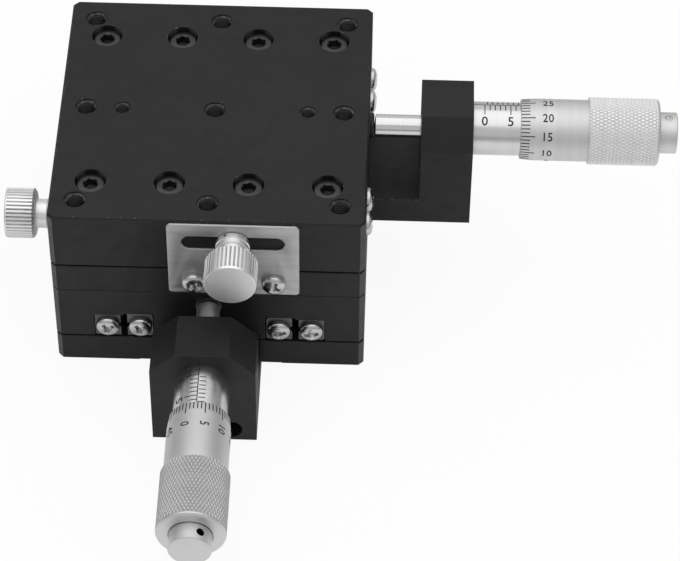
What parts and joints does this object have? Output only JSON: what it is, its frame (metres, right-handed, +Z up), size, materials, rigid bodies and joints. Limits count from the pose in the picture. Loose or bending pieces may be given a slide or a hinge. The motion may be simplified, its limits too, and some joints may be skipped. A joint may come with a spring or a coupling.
{
  "type": "xy linear stage",
  "caption": "Square two-axis crossed-roller positioning stage with micrometer heads at the side and front, lock screws and a threaded top table.",
  "frame": {"origin": "centre of the four base bolt holes, on the underside of the base plate", "axes": "+X towards the upper stage's micrometer, +Y away from the lower stage's micrometer, +Z up through the table"},
  "size_m": [0.1312, 0.1207, 0.0446],
  "materials": {
    "black_anodised": "black anodised, fine matt",
    "ground_steel": "ground and polished bearing steel",
    "black_screw": "black oxide",
    "satin_chrome": "satin chrome, lightly brushed",
    "stainless_plate": "brushed stainless sheet",
    "bright_screw": "bright nickel plate",
    "cage_brass": "rolled",
    "spring_steel": "drawn wire"
  },
  "bodies": {
    "base": {"y_base_plate": "black_anodised", "y_bracket": "black_anodised", "y_inner_rail_a": "ground_steel", "y_inner_rail_b": "ground_steel", "y_inner_rail_screws": "black_screw", "y_inner_end_screws": "bright_screw", "y_bracket_screws": "black_screw", "y_grub_screw": "black_screw", "y_sleeve": "satin_chrome", "y_spring_base_pin": "ground_steel", "y_return_spring": "spring_steel", "y_lock_plate": "stainless_plate", "y_lock_plate_screws": "bright_screw"},
    "middle": {"y_table": "black_anodised", "y_outer_rail_a": "ground_steel", "y_outer_rail_b": "ground_steel", "y_outer_rail_screws": "black_screw", "y_outer_end_screws": "bright_screw", "y_spring_table_pin": "ground_steel", "x_base_plate": "black_anodised", "x_bracket": "black_anodised", "x_inner_rail_a": "ground_steel", "x_inner_rail_b": "ground_steel", "x_inner_rail_screws": "black_screw", "x_inner_end_screws": "bright_screw", "x_bracket_screws": "black_screw", "x_grub_screw": "black_screw", "x_sleeve": "satin_chrome", "x_spring_base_pin": "ground_steel", "x_return_spring": "spring_steel", "x_lock_plate": "stainless_plate", "x_lock_plate_screws": "bright_screw", "x_base_plate_screws": "black_screw"},
    "top": {"x_table": "black_anodised", "x_outer_rail_a": "ground_steel", "x_outer_rail_b": "ground_steel", "x_outer_rail_screws": "black_screw", "x_outer_end_screws": "bright_screw", "x_spring_table_pin": "ground_steel"},
    "y_cages": {"y_cage_a": "cage_brass", "y_cage_b": "cage_brass", "y_rollers_a": "ground_steel", "y_rollers_b": "ground_steel"},
    "y_spindle": {"y_spindle": "ground_steel"},
    "y_thimble": {"y_thimble": "satin_chrome", "y_thimble_cap": "satin_chrome"},
    "y_lock": {"y_lock_screw": "satin_chrome"},
    "x_cages": {"x_cage_a": "cage_brass", "x_cage_b": "cage_brass", "x_rollers_a": "ground_steel", "x_rollers_b": "ground_steel"},
    "x_spindle": {"x_spindle": "ground_steel"},
    "x_thimble": {"x_thimble": "satin_chrome", "x_thimble_cap": "satin_chrome"},
    "x_lock": {"x_lock_screw": "satin_chrome"}
  },
  "joints": [
    {"name": "y_slide", "type": "slide", "parent": "base", "child": "middle", "axis": [0, -1, 0], "range_m": [-0.0065, 0.0065], "deforming": ["y_return_spring"]},
    {"name": "y_cage_slide", "type": "slide", "parent": "base", "child": "y_cages", "axis": [0, -1, 0], "range_m": [-0.00325, 0.00325]},
    {"name": "y_spindle_feed", "type": "slide", "parent": "base", "child": "y_spindle", "axis": [0, -1, 0], "range_m": [-0.0065, 0.0065]},
    {"name": "y_thimble_turn", "type": "hinge", "parent": "y_spindle", "child": "y_thimble", "pos_m": [0, -0.07, 0.0168], "axis": [0, -1, 0], "range_deg": [-4680, 4680]},
    {"name": "y_lock_turn", "type": "hinge", "parent": "middle", "child": "y_lock", "pos_m": [-0.036, -0.005, 0.0147], "axis": [-1, 0, 0], "range_deg": [-180, 180]},
    {"name": "x_slide", "type": "slide", "parent": "middle", "child": "top", "axis": [1, 0, 0], "range_m": [-0.0065, 0.0065], "deforming": ["x_return_spring"]},
    {"name": "x_cage_slide", "type": "slide", "parent": "middle", "child": "x_cages", "axis": [1, 0, 0], "range_m": [-0.00325, 0.00325]},
    {"name": "x_spindle_feed", "type": "slide", "parent": "middle", "child": "x_spindle", "axis": [1, 0, 0], "range_m": [-0.0065, 0.0065]},
    {"name": "x_thimble_turn", "type": "hinge", "parent": "x_spindle", "child": "x_thimble", "pos_m": [0.07, 0, 0.0368], "axis": [1, 0, 0], "range_deg": [-4680, 4680]},
    {"name": "x_lock_turn", "type": "hinge", "parent": "top", "child": "x_lock", "pos_m": [0.005, -0.036, 0.0347], "axis": [0, -1, 0], "range_deg": [0, 180]}
  ],
  "couplings": [
    {"joint": "y_spindle_feed", "follows": "y_slide", "ratio": 1},
    {"joint": "y_cage_slide", "follows": "y_slide", "ratio": 0.5},
    {"joint": "y_thimble_turn", "follows": "y_slide", "rad_per_m": 12566},
    {"joint": "x_spindle_feed", "follows": "x_slide", "ratio": 1},
    {"joint": "x_cage_slide", "follows": "x_slide", "ratio": 0.5},
    {"joint": "x_thimble_turn", "follows": "x_slide", "rad_per_m": 12566}
  ]
}
